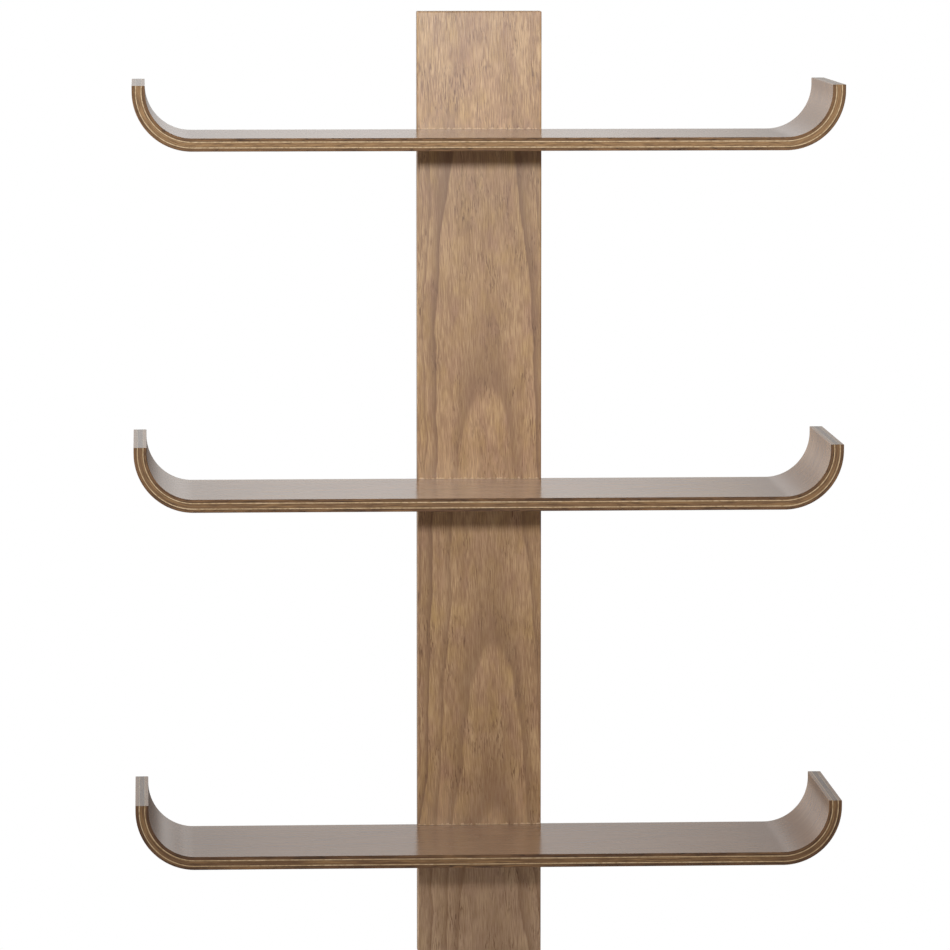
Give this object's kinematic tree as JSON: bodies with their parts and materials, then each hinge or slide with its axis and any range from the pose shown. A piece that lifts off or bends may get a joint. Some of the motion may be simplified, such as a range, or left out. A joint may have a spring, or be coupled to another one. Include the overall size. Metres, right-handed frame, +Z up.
{
  "type": "wall shelf",
  "caption": "Wall-hung shelf unit: a flat upright spine board carries bent-plywood shelves with upturned ends, and hangs on recessed keyhole plates.",
  "frame": {"origin": "middle of the spine board's back face, on the wall plane", "axes": "+Z up, +Y into the wall, front faces -Y, +X to the right as seen from the front"},
  "size_m": [0.612, 0.1871, 0.8392],
  "materials": {
    "spine_wood": "satin lacquer over a mid-brown stain",
    "face_ply": "satin lacquer over a mid-brown stain",
    "crossband": "sanded ply edge, pale, lacquered",
    "core_ply": "sanded ply edge, lacquered",
    "dowel_wood": "bare beech",
    "screw_steel": "bright zinc-plated",
    "hanger_zinc": "yellow-grey zinc-plated"
  },
  "bodies": {
    "root": {"spine_board": "spine_wood", "top_shelf_upper_face_ply": "face_ply", "top_shelf_upper_crossband": "crossband", "top_shelf_core": "core_ply", "top_shelf_lower_crossband": "crossband", "top_shelf_lower_face_ply": "face_ply", "middle_shelf_upper_face_ply": "face_ply", "middle_shelf_upper_crossband": "crossband", "middle_shelf_core": "core_ply", "middle_shelf_lower_crossband": "crossband", "middle_shelf_lower_face_ply": "face_ply", "bottom_shelf_upper_face_ply": "face_ply", "bottom_shelf_upper_crossband": "crossband", "bottom_shelf_core": "core_ply", "bottom_shelf_lower_crossband": "crossband", "bottom_shelf_lower_face_ply": "face_ply", "shelf_dowels": "dowel_wood", "shelf_screws": "screw_steel", "upper_hanger_plate": "hanger_zinc", "lower_hanger_plate": "hanger_zinc", "hanger_screws": "hanger_zinc"}
  },
  "joints": []
}
